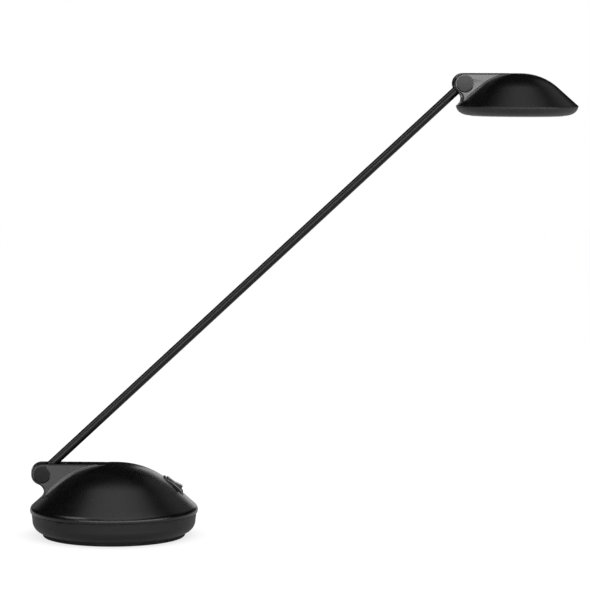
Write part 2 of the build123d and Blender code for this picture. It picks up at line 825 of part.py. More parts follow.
# ---- cord inlet -------------------------------------------------------------
def cord_inlet_bush():
    """Stepped bush in the rear of the tray; the supply cord passes its bore."""
    seat = -tray_waist_radius + inlet_seat_depth
    flange = rod_x(inlet_flange_radius, seat - inlet_flange_thickness, seat, 0, inlet_height)
    rim = [e for e in flange.edges() if e.center().X < seat - inlet_flange_thickness + 0.01]
    bush = chamfer(rim, inlet_edge)
    bush += rod_x(inlet_barrel_radius, seat, seat + inlet_barrel_length, 0, inlet_height)
    bush -= rod_x(inlet_bore_radius, seat - 5, seat + 2 * inlet_barrel_length, 0, inlet_height)
    return inlet_place * bush


# ---- leads in the base ------------------------------------------------------
def base_lead():
    """Lamp lead from the driver's terminals up to the hinge slot."""
    start = terminal_x - terminal_length / 2
    wire_z = board_top + 3
    rise_top = base_pivot_z - slot_radius - 1
    points = [(start, 2.5, wire_z), (lead_exit_x, 0, wire_z), (lead_exit_x, 0, rise_top)]
    return wire(points, lead_bend, lead_radius)


def switch_leads():
    """Two leads from the switch blades down and across to the driver board."""
    low = switch_pad_rise - switch_body_depth - blade_length
    end = board_centre + board_length / 2 - post_inset
    first = -blade_spacing * (blade_count - 1) / 2
    leads = []
    for n in range(blade_count):
        start = (switch_place * Pos(first + blade_spacing * n, 0, low)).position
        bend = (switch_place * Pos(first + blade_spacing * n, 0, low - switch_lead_drop)).position
        side = switch_lead_spread * (1 - 2 * n)
        knee = (end, side, board_top + switch_lead_rise)
        foot = (end, side, board_top)
        leads.append(wire([start, bend, knee, foot], switch_lead_bend, switch_lead_radius))
    return join(leads)


# ---- head -------------------------------------------------------------------
head_dome = Dome(
    head_rim_radius,
    head_rim_height,
    head_rim_round,
    0.0,
    head_top_flat,
    head_dome_height,
    head_flank_angle,
)
head_local_x = -head_pivot_reach
head_local_z = head_pivot_height
flange_top = 0.0
flange_bottom = flange_top - flange_thickness
spreader_top = flange_top + spreader_thickness
light_board_bottom = flange_top - light_board_thickness


def head_boss_places():
    """Where the three head screws stand."""
    return around(boss_count, head_boss_reach, boss_first_angle)


def head_cover():
    """Domed shell with hinge block, slot and screw bosses."""
    shell = head_dome.outer() + hinge_block(head_dome, head_pivot_reach, head_block_rise, head_neck_radius)
    shell -= head_dome.inner(head_wall)
    shell += cover_bosses(head_dome, head_wall, head_boss_places(), head_boss_radius, spreader_top)
    shell -= block_core(head_dome, head_pivot_reach, head_block_rise, head_slot_angles, head_wall)
    shell -= hinge_slot(head_local_x, head_local_z, head_slot_angles, slot_width / 2)
    shell -= ear_cuts(head_local_x, head_local_z)
    hole_end = head_local_x + slot_radius + 2 * slot_wall + hinge_radius
    shell -= rod_x(lead_radius + through_clearance + 0.5, head_local_x + 5, hole_end, 0, head_local_z)
    for place in head_boss_places():
        shell -= place * tube(head_screw_radius - 0.02, 0, 0, spreader_top + head_screw_bite)
    return shell


def bowl_outline(inset, top, drop):
    """Outline of the shallow bowl below the rim."""
    radius = head_rim_radius - bowl_edge - inset
    low = -bowl_depth + drop
    waist = -bowl_side_depth + drop
    shoulder = radius - bowl_round * 0.9
    return [
        Polyline((0, top), (radius, top), (radius, -0.6)),
        ThreePointArc((radius, -0.6), (radius - 0.9, -bowl_side_depth * 0.55 + drop * 0.4), (radius - 2.8, waist)),
        ThreePointArc((radius - 2.8, waist), (shoulder - 1.6, (waist + low) / 2 - 0.45), (shoulder - 7.5, low)),
        Polyline((shoulder - 7.5, low), (0, low), (0, top)),
    ]


def head_bowl():
    """Shallow lower housing that frames the diffuser."""
    bowl = revolve(Plane.XZ * make_face(bowl_outline(0, 0, 0)), Axis.Z)
    hollow = revolve(Plane.XZ * make_face(bowl_outline(bowl_wall, 1.0, bowl_wall)), Axis.Z)
    lip_outer = head_rim_radius - bowl_edge - bowl_wall
    bowl -= hollow & tube(head_rim_radius, 0, -bowl_depth, flange_bottom)
    bowl -= tube(flange_inner_radius, 0, -bowl_depth - 1, 1)
    bowl -= tube(diffuser_radius + diffuser_clearance, 0, -bowl_depth - 1, -bowl_depth + bowl_wall + 0.1)
    lip = tube(lip_outer - head_wall, lip_outer - 2 * head_wall, 0, 1.2)
    bowl += lip
    for place in head_boss_places():
        bowl -= place * tube(head_screw_radius + through_clearance, 0, -bowl_depth, 1)
    return bowl


def heat_spreader():
    """Aluminium disc that carries the light board."""
    disc = tube(spreader_radius, 0, flange_top, spreader_top)
    for place in head_boss_places():
        disc -= place * tube(head_screw_radius + through_clearance, 0, -1, spreader_top + 1)
    return disc - Pos(-head_lead_reach, 0, 0) * tube(head_lead_hole_radius, 0, -1, spreader_top + 1)


def led_board():
    """Round light board on the underside of the spreader."""
    board = tube(light_board_radius, 0, light_board_bottom, flange_top)
    return board - Pos(-head_lead_reach, 0, 0) * tube(head_lead_hole_radius, 0, -10, 1)


def led_chips():
    """The ring of light sources."""
    chip = Box(chip_size, chip_size, chip_height)
    drop = light_board_bottom - chip_height / 2
    places = around(chip_count, chip_circle_radius, 15.0)
    return join(place * Pos(0, 0, drop) * chip for place in places)


def reflector():
    """White cone that throws the light on to the diffuser."""
    top = light_board_bottom
    low = -bowl_depth + diffuser_thickness
    outline = Polyline(
        (reflector_top_radius, top),
        (reflector_top_radius + reflector_wall, top),
        (reflector_low_radius + reflector_wall, low),
        (reflector_low_radius, low),
        close=True,
    )
    return revolve(Plane.XZ * make_face(outline), Axis.Z)


def diffuser():
    """Opal disc that stands a little out of the mouth of the bowl."""
    low = -bowl_depth - diffuser_edge
    disc = tube(diffuser_radius, 0, low, low + diffuser_edge + diffuser_thickness)
    rim = [e for e in disc.edges() if abs(e.center().Z - low) < 0.01]
    return chamfer(rim, diffuser_edge - 0.05)


def head_screws():
    """The three screws that clamp bowl and spreader to the cover."""
    length = spreader_top - flange_bottom + head_screw_bite - 1 + head_screw_head_height
    screw = headed_screw(head_screw_radius - 0.05, head_screw_head_radius, head_screw_head_height, length)
    drop = flange_bottom - head_screw_head_height
    return join(place * Pos(0, 0, drop) * screw for place in head_boss_places())


def head_lead():
    """Lead from the hinge slot through the block and down to the light board."""
    start = head_local_x + slot_radius + 1
    end = (-head_lead_reach, 0, light_board_bottom + 0.3)
    points = [(start, 0, head_local_z), (-head_lead_reach, 0, head_local_z), end]
    return wire(points, lead_bend, lead_radius)


# ---- all nodes --------------------------------------------------------------
nodes = {
    "foot_pad": foot_pad(),
    "base_tray": base_tray(),
    "base_cover": base_cover(),
    "ballast_weight": ballast_weight(),
    "ballast_screws": ballast_screws(),
    "tray_screws": tray_screws(),
    "board_posts": board_posts(),
    "driver_board": driver_board(),
    "driver_transformer": driver_transformer(),
    "driver_capacitors": driver_capacitors(),
    "terminal_block": terminal_block(),
    "switch_housing": switch_housing(),
    "switch_rocker": switch_rocker(),
    "switch_terminals": switch_terminals(),
    "switch_leads": switch_leads(),
    "cord_inlet_bush": cord_inlet_bush(),
    "base_lead": base_lead(),
    "arm_tube": arm_place * arm_tube(),
    "arm_lead": arm_place * arm_lead(),
    "lower_knuckle": arm_place * knuckle(),
    "upper_knuckle": arm_place * flip_end() * knuckle(),
    "knuckle_screws": arm_place
    * join([knuckle_screw_bar(), flip_end() * knuckle_screw_bar()]),
    "head_cover": head_place * head_cover(),
    "head_bowl": head_place * head_bowl(),
    "heat_spreader": head_place * heat_spreader(),
    "led_board": head_place * led_board(),
    "led_chips": head_place * led_chips(),
    "reflector": head_place * reflector(),
    "diffuser": head_place * diffuser(),
    "head_screws": head_place * head_screws(),
    "head_lead": head_place * head_lead(),
}
for name, piece in hinge_hardware(base_pivot_x, base_pivot_z).items():
    nodes["base_" + name] = piece
for name, piece in hinge_hardware(head_pivot_x, head_pivot_z).items():
    nodes["head_" + name] = piece

os.makedirs("parts", exist_ok=True)
for name, piece in nodes.items():
    export_step(piece, "parts/" + name + ".step")
print(len(nodes), "nodes written")
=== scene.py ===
from math import cos, radians, sin

import bmesh
import bpy
from bpy.props import FloatProperty, FloatVectorProperty, PointerProperty
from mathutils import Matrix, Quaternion, Vector


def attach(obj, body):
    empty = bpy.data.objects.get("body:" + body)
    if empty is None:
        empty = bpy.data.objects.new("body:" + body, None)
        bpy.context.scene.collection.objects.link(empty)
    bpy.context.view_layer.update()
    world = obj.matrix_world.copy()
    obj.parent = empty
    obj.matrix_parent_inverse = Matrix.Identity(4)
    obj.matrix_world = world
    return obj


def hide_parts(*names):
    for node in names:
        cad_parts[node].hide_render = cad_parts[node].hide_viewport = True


bl_info = {
    "name": "Domed Desk Lamp",
    "version": (1, 0, 0),
    "blender": (4, 5, 0),
    "location": "View3D > Sidebar > Lamp",
    "description": "Dresses the desk lamp's frame: moulded covers, arm, switch, light unit and studio",
    "category": "Object",
}

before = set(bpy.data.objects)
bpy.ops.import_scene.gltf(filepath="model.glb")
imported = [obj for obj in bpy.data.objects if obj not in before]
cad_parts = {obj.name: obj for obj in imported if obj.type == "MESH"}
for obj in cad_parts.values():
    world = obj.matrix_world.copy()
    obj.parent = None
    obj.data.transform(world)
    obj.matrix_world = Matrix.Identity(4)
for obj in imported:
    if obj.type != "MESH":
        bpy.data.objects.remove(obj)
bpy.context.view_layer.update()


# ---- sizes and colours that a user would change ------------------------------
def colour(name, description, grey, tint=(1.0, 1.0, 1.0)):
    """A colour property whose default is a grey with a slight tint."""
    default = [grey * part for part in tint]
    return FloatVectorProperty(
        name=name, description=description, subtype="COLOR", default=default, min=0.0, max=1.0
    )


def amount(name, description, default):
    """A share between 0 and 1."""
    return FloatProperty(name=name, description=description, default=default, min=0.0, max=1.0)


def length(name, description, default):
    """A length in metres."""
    return FloatProperty(name=name, description=description, default=default, unit="LENGTH", precision=4)


def angle(name, description, degrees):
    """An angle, whose default is given in degrees."""
    return FloatProperty(name=name, description=description, default=radians(degrees), subtype="ANGLE")


def strength(name, description, default):
    """The strength of a light, where 1 shows as white."""
    return FloatProperty(name=name, description=description, default=default, min=0.0)


class LampFinish(bpy.types.PropertyGroup):
    """Colours and finishes of the lamp's own materials."""

    cover_black: colour("Cover", "Black of the domed covers", 0.0015)
    cover_roughness: amount("Cover roughness", "How soft the covers' gloss is", 0.27)
    cheek_grey: colour("Cheeks", "Satin grey of the flat hinge cheeks", 0.016)
    cheek_roughness: amount("Cheek roughness", "Satin of the flat hinge cheeks", 0.22)
    crease_round: length("Crease round", "Round between hinge cheek and dome", 0.002)
    tray_grey: colour("Tray", "Dark grey of the lower housing of the base", 0.006, (1.05, 1.0, 0.94))
    tray_shine: amount("Tray shine", "Strength of the tray's reflection", 0.4)
    tray_roughness: amount("Tray roughness", "Satin of the tray and of the bowl", 0.5)
    bowl_grey: colour("Bowl", "Grey of the bowl under the head", 0.02, (1.02, 1.0, 0.98))
    cap_black: colour("Pivot caps", "Black of the round pivot caps", 0.002)
    cap_shine: amount("Cap shine", "Strength of the caps' reflection", 0.36)
    cap_gap: length("Cap gap", "Extra gap round a pivot cap", 0.0005)
    cap_roughness: amount("Cap roughness", "Satin of the pivot caps", 0.22)
    arm_black: colour("Arm", "Powder coat of the tube", 0.003)
    arm_roughness: amount("Arm roughness", "Satin of the powder coat", 0.33)
    arm_shine: amount("Arm shine", "Strength of the tube's reflection", 0.33)
    rubber_black: colour("Foot", "Rubber of the foot pad", 0.012)
    rocker_grey: colour("Rocker", "Grey of the switch's rocker", 0.03)
    opal_white: colour("Diffuser", "Opal plastic of the diffuser", 0.8)
    grain_size: length("Mould grain", "Width of one grain of the moulded surface", 0.0004)


class LampStudio(bpy.types.PropertyGroup):
    """Camera and light of the studio."""

    camera_turn: angle("Turn", "How far the camera stands to the left of the front", 5.02)
    camera_rise: angle("Rise", "Angle of the camera above level", 4.8)
    camera_roll: angle("Roll", "Camera's turn about its own line of sight", 0.23)
    camera_distance: length("Distance", "From the camera to the picture's centre", 2.673)
    camera_lens: FloatProperty(
        name="Lens", description="Focal length in millimetres", default=181.2, unit="CAMERA"
    )
    centre_x: length("Centre X", "Place along X of the middle of the picture", 0.1628)
    centre_z: length("Centre Z", "Height of the middle of the picture", 0.2165)
    fill: strength("Fill", "Even light on matt surfaces", 0.85)
    overhead: strength("Overhead", "Soft box above, as the gloss shows it", 1.15)
    band: strength("Band", "Bright strip along the front horizon", 5.0)
    rear: strength("Rear", "Soft box behind on the right", 1.25)
    high_left: strength("High left", "Soft box high in front on the left", 3.5)
    corner: strength("Corner", "Dim patch high behind on the right", 0.2)
    left: strength("Left", "Faint soft box behind on the left", 0.25)
    surround: strength("Surround", "Dark studio round the soft boxes", 0.006)
    floor_size: length("Floor", "Side of the floor", 9.0)


# ---- selecting and editing ---------------------------------------------------
def deselect():
    """Leaves nothing selected."""
    bpy.ops.object.select_all(action="DESELECT")


def make_active(piece):
    """Selects one piece alone and makes it the active one."""
    deselect()
    piece.select_set(True)
    bpy.context.view_layer.objects.active = piece


def edit_all(piece):
    """Opens a piece in edit mode with all of it selected."""
    make_active(piece)
    bpy.ops.object.mode_set(mode="EDIT")
    bpy.ops.mesh.select_all(action="SELECT")


def end_edit():
    """Goes back to object mode."""
    bpy.ops.object.mode_set(mode="OBJECT")


def link_object(name, data):
    """A new object in the scene that shows the given data."""
    made = bpy.data.objects.new(name, data)
    bpy.context.scene.collection.objects.link(made)
    return made


def dress(piece, material):
    """Gives a piece one material all over."""
    piece.data.materials.clear()
    piece.data.materials.append(material)


def dress_nodes(material, *names):
    """Gives the named frame nodes one material."""
    for name in names:
        dress(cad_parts[name], material)


# ---- copies of frame nodes ---------------------------------------------------
# Points this close are merged, and faces this near to level with each other become one.
MERGE_GAP = 0.000002
FLAT_ANGLE = radians(0.05)
# Edges sharper than this stay sharp, and larger faces weigh more in the shading.
SHARP_ANGLE = radians(32)
SHADING_WEIGHT = 80


def dressed_copy(name, node, body):
    """A merged, smoothly shaded copy of a frame node that stands for it."""
    piece = link_object(name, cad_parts[node].data.copy())
    piece.data.materials.clear()
    edit_all(piece)
    bpy.ops.mesh.remove_doubles(threshold=MERGE_GAP)
    bpy.ops.mesh.dissolve_limited(angle_limit=FLAT_ANGLE)
    end_edit()
    bpy.ops.object.shade_smooth_by_angle(angle=SHARP_ANGLE)
    even = piece.modifiers.new("Even shading", "WEIGHTED_NORMAL")
    even.keep_sharp = True
    even.weight = SHADING_WEIGHT
    bpy.ops.object.modifier_apply(modifier=even.name)
    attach(piece, body)
    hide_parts(node)
    return piece


def open_ring(caps, gap):
    """Narrows a pair of round caps, so that the gap round them shows."""
    across = [vertex.co.x for vertex in caps.data.vertices]
    upright = [vertex.co.z for vertex in caps.data.vertices]
    centre = ((min(across) + max(across)) / 2, 0, (min(upright) + max(upright)) / 2)
    share = 1 - 2 * gap / (max(across) - min(across))
    edit_all(caps)
    bpy.ops.transform.resize(value=(share, 1, share), center_override=centre)
    end_edit()


# ---- the round between hinge cheek and dome ----------------------------------
# A cheek faces along Y, and the dome beside it faces upwards.
CHEEK_FACING = 0.99
DOME_FACING_UP = 0.3
DOME_FACING_SIDE = 0.9
# A shorter row of edges isn't a crease.
CREASE_EDGES = 6
# The round grows over the first stretch of a crease and fades over the last, in metres,
# and at both ends it is this least share of its radius.
CREASE_GROW = 0.004
CREASE_FADE = 0.008
CREASE_LEAST = 0.1
# Facets across the round, and how far its back reaches into the corner.
CREASE_STEPS = 5
CREASE_BACK = 0.0001
# A face of a cover belongs to a cheek when it is as flat and as large as this.
CHEEK_FLAT = 0.999
CHEEK_AREA = 0.00002


def crease_edges(shape):
    """The inner corners between cheek and dome: edge to (cheek normal, dome normal)."""
    creases = {}
    for edge in shape.edges:
        if len(edge.link_faces) != 2 or edge.is_convex:
            continue
        cheek, dome = sorted((face.normal for face in edge.link_faces), key=lambda n: -abs(n.y))
        if abs(cheek.y) > CHEEK_FACING and dome.z > DOME_FACING_UP and abs(dome.y) < DOME_FACING_SIDE:
            creases[edge] = (cheek.copy(), dome.copy())
    return creases


def take_row(creases):
    """Takes one connected row of edges out of the creases, with their normals."""
    first = next(iter(creases))
    row, normals = [first], {first: creases.pop(first)}
    for end in (1, 0):
        corner = first.verts[end]
        while True:
            following = [edge for edge in corner.link_edges if edge in creases]
            if not following:
                break
            edge = following[0]
            normals[edge] = creases.pop(edge)
            corner = edge.other_vert(corner)
            row.insert(len(row) if end else 0, edge)
    return row, normals


def row_points(row, normals):
    """The corners along a row of edges, each with the normals of an edge beside it."""
    shared = [(set(edge.verts) & set(after.verts)).pop() for edge, after in zip(row, row[1:])]
    corners = [row[0].other_vert(shared[0])] + shared + [row[-1].other_vert(shared[-1])]
    return [(corner.co.copy(),) + normals[edge] for corner, edge in zip(corners, row[:1] + row)]


def crease_lines(piece):
    """Rows of (point, cheek normal, dome normal) along the corners between cheek and dome."""
    shape = bmesh.new()
    shape.from_mesh(piece.data)
    creases = crease_edges(shape)
    lines = []
    while creases:
        row, normals = take_row(creases)
        if len(row) >= CREASE_EDGES:
            lines.append(row_points(row, normals))
    shape.free()
    return lines


def crease_mesh(line, radius):
    """A closed strip along a crease, whose open side is a hollow round."""
    run = [0.0]
    for (first, _, _), (second, _, _) in zip(line, line[1:]):
        run.append(run[-1] + (second - first).length)
    corners = []
    for (point, cheek, dome), done in zip(line, run):
        share = min(1.0, done / CREASE_GROW, (run[-1] - done) / CREASE_FADE)
        size = radius * max(CREASE_LEAST, share)
        centre = point + (cheek + dome) * (size / (1 + cheek.dot(dome)))
        for step in range(CREASE_STEPS + 1):
            normal = cheek.lerp(dome, step / CREASE_STEPS).normalized()
            corners.append(centre - normal * size)
        corners.append(point - (cheek + dome) * CREASE_BACK)
    ring = CREASE_STEPS + 2
    last = len(corners) - ring
    faces = []
    for start in range(0, last, ring):
        for side in range(ring):
            after = (side + 1) % ring
            faces.append((start + side, start + after, start + ring + after, start + ring + side))
    faces += [tuple(range(ring)), tuple(range(last, len(corners)))]
    mesh = bpy.data.meshes.new("crease_round")
    mesh.from_pydata([tuple(corner) for corner in corners], [], faces)
    return mesh


def fill_crease(piece, radius, material):
    """Adds the small round that runs along each corner between cheek and dome."""
    for line in crease_lines(piece):
        strip = link_object("crease_round", crease_mesh(line, radius))
        dress(strip, material)
        edit_all(strip)
        bpy.ops.mesh.normals_make_consistent(inside=False)
        end_edit()
        bpy.ops.object.shade_smooth_by_angle(angle=SHARP_ANGLE)
        piece.select_set(True)
        bpy.context.view_layer.objects.active = piece
        bpy.ops.object.join()


def mark_cheeks(cover):
    """Gives the flat cheeks of a cover its second material."""
    for face in cover.data.polygons:
        if abs(face.normal.y) > CHEEK_FLAT and face.area > CHEEK_AREA:
            face.material_index = 1


# ---- materials ---------------------------------------------------------------
# Most of a noise pattern lies between these two values.
NOISE_LOW = 0.3
NOISE_HIGH = 0.7


class Nodes:
    """A node tree, with short calls for the nodes that it needs."""

    def __init__(self, tree):
        self.tree = tree

    def add(self, kind, **settings):
        """A new node with its settings."""
        made = self.tree.nodes.new(kind)
        for key, value in settings.items():
            setattr(made, key, value)
        return made

    def link(self, start, end):
        """Joins an output to an input."""
        self.tree.links.new(start, end)

    def feed(self, socket, value):
        """Gives an input a number or another node's output."""
        if isinstance(value, bpy.types.NodeSocket):
            self.link(value, socket)
        else:
            socket.default_value = value

    def math(self, operation, *values):
        """One arithmetic step on numbers or outputs."""
        step = self.add("ShaderNodeMath", operation=operation)
        for value, socket in zip(values, step.inputs):
            self.feed(socket, value)
        return step.outputs["Value"]

    def ramp(self, value, low, high, start=0.0, end=1.0, **settings):
        """Carries low..high to start..end, and goes no further."""
        made = self.add("ShaderNodeMapRange", **settings)
        self.link(value, made.inputs["Value"])
        for key, limit in (("From Min", low), ("From Max", high), ("To Min", start), ("To Max", end)):
            made.inputs[key].default_value = limit
        return made.outputs["Result"]

    def choose(self, switch, off, on):
        """One of two values, by a switch that is 0 or 1."""
        pick = self.add("ShaderNodeMix", data_type="FLOAT")
        for key, value in (("Factor", switch), ("A", off), ("B", on)):
            self.feed(pick.inputs[key], value)
        return pick.outputs["Result"]


class Recipe(Nodes):
    """A material whose patterns vary one principled shader."""

    def __init__(self, name):
        self.material = bpy.data.materials.new(name)
        self.material.use_nodes = True
        super().__init__(self.material.node_tree)
        self.shader = self.tree.nodes["Principled BSDF"]
        self.place = self.add("ShaderNodeTexCoord").outputs["Object"]

    def noise(self, scale, detail=3.0, roughness=0.5):
        """Noise between 0 and 1, with features of about 1/scale metres."""
        made = self.add("ShaderNodeTexNoise")
        self.link(self.place, made.inputs["Vector"])
        for key, value in (("Scale", scale), ("Detail", detail), ("Roughness", roughness)):
            made.inputs[key].default_value = value
        return made.outputs["Fac"]

    def shade(self, colour, pattern, spread):
        """A colour that varies a little with a pattern."""
        made = self.add("ShaderNodeMix", data_type="RGBA")
        self.link(pattern, made.inputs["Factor"])
        made.inputs["A"].default_value = [c * (1 - spread) for c in colour] + [1.0]
        made.inputs["B"].default_value = [min(1.0, c * (1 + spread)) for c in colour] + [1.0]
        self.link(made.outputs["Result"], self.shader.inputs["Base Color"])

    def gloss(self, pattern, roughness, less, more):
        """A roughness that varies with a pattern, from less to more of its value."""
        uneven = self.ramp(pattern, NOISE_LOW, NOISE_HIGH, roughness * less, roughness * more)
        self.link(uneven, self.shader.inputs["Roughness"])

    def bump(self, pattern, depth):
        """Raises the surface by up to depth metres."""
        made = self.add("ShaderNodeBump")
        made.inputs["Strength"].default_value = 1.0
        made.inputs["Distance"].default_value = depth
        self.link(pattern, made.inputs["Height"])
        self.link(made.outputs["Normal"], self.shader.inputs["Normal"])

    def set(self, **values):
        """Sets the shader's own inputs, named with _ for each space."""
        for key, value in values.items():
            self.shader.inputs[key.replace("_", " ")].default_value = value


def moulded(name, colour, roughness, grain=0.0, depth=0.0, shine=0.5):
    """Moulded plastic: faint mottling, slightly uneven gloss and a fine grain, if it has a depth."""
    recipe = Recipe(name)
    recipe.shade(colour, recipe.noise(scale=60.0), spread=0.08)
    recipe.gloss(recipe.noise(scale=180.0, detail=4.0), roughness, less=0.93, more=1.07)
    if depth:
        recipe.bump(recipe.noise(scale=1.0 / grain, detail=2.0), depth)
    recipe.set(IOR=1.5, Specular_IOR_Level=shine)
    return recipe.material


def coated(name, colour, roughness, shine):
    """Powder-coated metal: a fine orange peel over a dark colour."""
    recipe = Recipe(name)
    recipe.shade(colour, recipe.noise(scale=300.0), spread=0.15)
    recipe.bump(recipe.noise(scale=1600.0, detail=2.0), depth=0.000001)
    recipe.gloss(recipe.noise(scale=700.0), roughness, less=0.9, more=1.1)
    recipe.set(Specular_IOR_Level=shine)
    return recipe.material


def metal(name, colour, roughness):
    """Bare or plated metal with fine marks."""
    recipe = Recipe(name)
    recipe.shade(colour, recipe.noise(scale=150.0, detail=5.0), spread=0.12)
    marks = recipe.noise(scale=900.0, detail=4.0, roughness=0.7)
    recipe.gloss(marks, roughness, less=0.8, more=1.25)
    recipe.bump(marks, depth=0.00001)
    recipe.set(Metallic=1.0)
    return recipe.material


def cast(name, colour):
    """Raw cast iron."""
    recipe = Recipe(name)
    recipe.shade(colour, recipe.noise(scale=220.0, detail=6.0, roughness=0.7), spread=0.4)
    recipe.bump(recipe.noise(scale=900.0, detail=5.0, roughness=0.7), depth=0.0001)
    recipe.set(Metallic=0.7, Roughness=0.65)
    return recipe.material


def opal(name, colour):
    """Opal diffuser plastic that lets light through softly."""
    recipe = Recipe(name)
    recipe.shade(colour, recipe.noise(scale=40.0), spread=0.02)
    recipe.bump(recipe.noise(scale=1500.0, detail=2.0), depth=0.00002)
    recipe.set(Roughness=0.35, IOR=1.49)
    recipe.set(Subsurface_Weight=0.3, Subsurface_Radius=(0.004, 0.004, 0.004), Subsurface_Scale=1.0)
    return recipe.material


# ---- pieces ------------------------------------------------------------------
class LAMP_OT_covers(bpy.types.Operator):
    """Dress the two domed covers with their hinge blocks"""

    bl_idname = "lamp.covers"
    bl_label = "Domed covers"

    def execute(self, context):
        look = context.scene.lamp_finish
        gloss = moulded("cover_black", look.cover_black, look.cover_roughness)
        satin = moulded("cheek_satin", look.cheek_grey, look.cheek_roughness, shine=1.0)
        for end in ("base", "head"):
            dome = dressed_copy(end + "_dome", end + "_cover", end)
            dress(dome, gloss)
            dome.data.materials.append(satin)
            fill_crease(dome, look.crease_round, satin)
            mark_cheeks(dome)
        return {"FINISHED"}


class LAMP_OT_lower_housings(bpy.types.Operator):
    """Dress the tray of the base and the bowl of the head"""

    bl_idname = "lamp.lower_housings"
    bl_label = "Tray and bowl"

    def execute(self, context):
        look = context.scene.lamp_finish
        satin = {"roughness": look.tray_roughness, "grain": look.grain_size, "depth": 0.000005}
        tray = moulded("tray_grey", look.tray_grey, shine=look.tray_shine, **satin)
        bowl = moulded("bowl_grey", look.bowl_grey, **satin)
        dress(dressed_copy("base_lower_tray", "base_tray", "base"), tray)
        dress(dressed_copy("head_lower_bowl", "head_bowl", "head"), bowl)
        return {"FINISHED"}


class LAMP_OT_arm(bpy.types.Operator):
    """Dress the tube, the knuckles and the pivot caps"""

    bl_idname = "lamp.arm"
    bl_label = "Arm and hinges"

    def execute(self, context):
        look = context.scene.lamp_finish
        coat = coated("arm_coat", look.arm_black, look.arm_roughness, look.arm_shine)
        dress(dressed_copy("arm_rod", "arm_tube", "arm"), coat)
        dress_nodes(coat, "lower_knuckle", "upper_knuckle")
        satin = {"roughness": look.cap_roughness, "grain": look.grain_size, "depth": 0.000003}
        cap = moulded("cap_black", look.cap_black, shine=look.cap_shine, **satin)
        for end in ("base", "head"):
            caps = dressed_copy(end + "_round_caps", end + "_pivot_caps", end)
            open_ring(caps, look.cap_gap)
            dress(caps, cap)
        return {"FINISHED"}


class LAMP_OT_foot_and_switch(bpy.types.Operator):
    """Dress the foot pad, the rocker switch and the cord inlet"""

    bl_idname = "lamp.foot_and_switch"
    bl_label = "Foot and switch"

    def execute(self, context):
        look = context.scene.lamp_finish
        matt = {"roughness": 0.7, "grain": 0.0008, "depth": 0.00002, "shine": 0.25}
        dress_nodes(moulded("foot_rubber", look.rubber_black, **matt), "foot_pad")
        fine = {"grain": look.grain_size, "depth": 0.000001}
        switch = moulded("switch_black", look.cap_black, roughness=0.35, **fine)
        dress_nodes(switch, "switch_housing", "cord_inlet_bush")
        rocker = moulded("rocker_grey", look.rocker_grey, roughness=0.25, **fine)
        dress_nodes(rocker, "switch_rocker")
        return {"FINISHED"}


class LAMP_OT_light_unit(bpy.types.Operator):
    """Dress the diffuser and what lies behind it"""

    bl_idname = "lamp.light_unit"
    bl_label = "Light unit"

    def execute(self, context):
        look = context.scene.lamp_finish
        dress_nodes(opal("opal_plastic", look.opal_white), "diffuser")
        white = (0.85, 0.85, 0.85)
        reflector = moulded("reflector_white", white, roughness=0.3, grain=0.0004, depth=0.000004)
        dress_nodes(reflector, "reflector")
        board_white = (0.8, 0.8, 0.79)
        board = moulded("light_board_white", board_white, roughness=0.45, grain=0.0004, depth=0.000006)
        dress_nodes(board, "led_board")
        amber = (0.8, 0.65, 0.15)
        chip = moulded("chip_phosphor", amber, roughness=0.4, grain=0.0002, depth=0.000004)
        dress_nodes(chip, "led_chips")
        dress_nodes(metal("spreader_aluminium", (0.75, 0.75, 0.76), roughness=0.35), "heat_spreader")
        return {"FINISHED"}


class LAMP_OT_inner_parts(bpy.types.Operator):
    """Dress the ballast, the driver, the leads and the fasteners"""

    bl_idname = "lamp.inner_parts"
    bl_label = "Inner parts"

    def execute(self, context):
        dress_nodes(cast("ballast_iron", (0.12, 0.12, 0.12)), "ballast_weight")
        fasteners = [
            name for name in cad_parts
            if any(word in name for word in ("screw", "bolt", "_nut")) or name.endswith("spring_washer")
        ]
        dress_nodes(metal("zinc_steel", (0.6, 0.61, 0.62), roughness=0.3), *fasteners)
        black = (0.02, 0.02, 0.02)
        lead = moulded("lead_sleeve", black, roughness=0.5, grain=0.0005, depth=0.00001)
        dress_nodes(lead, "base_lead", "head_lead", "arm_lead", "switch_leads")
        ivory = (0.7, 0.68, 0.6)
        washer = moulded("washer_plastic", ivory, roughness=0.45, grain=0.0004, depth=0.000005)
        dress_nodes(washer, "base_friction_washers", "head_friction_washers")
        self.dress_driver()
        dress_nodes(metal("blade_brass", (0.75, 0.58, 0.28), roughness=0.3), "switch_terminals")
        return {"FINISHED"}

    def dress_driver(self):
        """Dresses the driver's board, the parts on it and its posts."""
        for node, name, tone, roughness, grain, depth in (
            ("driver_board", "board_laminate", (0.03, 0.14, 0.05), 0.4, 0.0006, 0.000005),
            ("driver_transformer", "ferrite", (0.06, 0.055, 0.05), 0.6, 0.0008, 0.00003),
            ("driver_capacitors", "capacitor_sleeve", (0.02, 0.025, 0.06), 0.35, 0.001, 0.00001),
            ("terminal_block", "terminal_green", (0.05, 0.2, 0.07), 0.45, 0.0005, 0.00001),
            ("board_posts", "post_nylon", (0.75, 0.75, 0.7), 0.45, 0.0005, 0.00001),
        ):
            dress_nodes(moulded(name, tone, roughness, grain, depth), node)


# ---- studio ------------------------------------------------------------------
def leaning(degrees, towards):
    """The inward normal of a side that lies some degrees from straight up, towards a heading."""
    lean = radians(degrees)
    return (-towards[0] * cos(lean), -towards[1] * cos(lean), sin(lean))


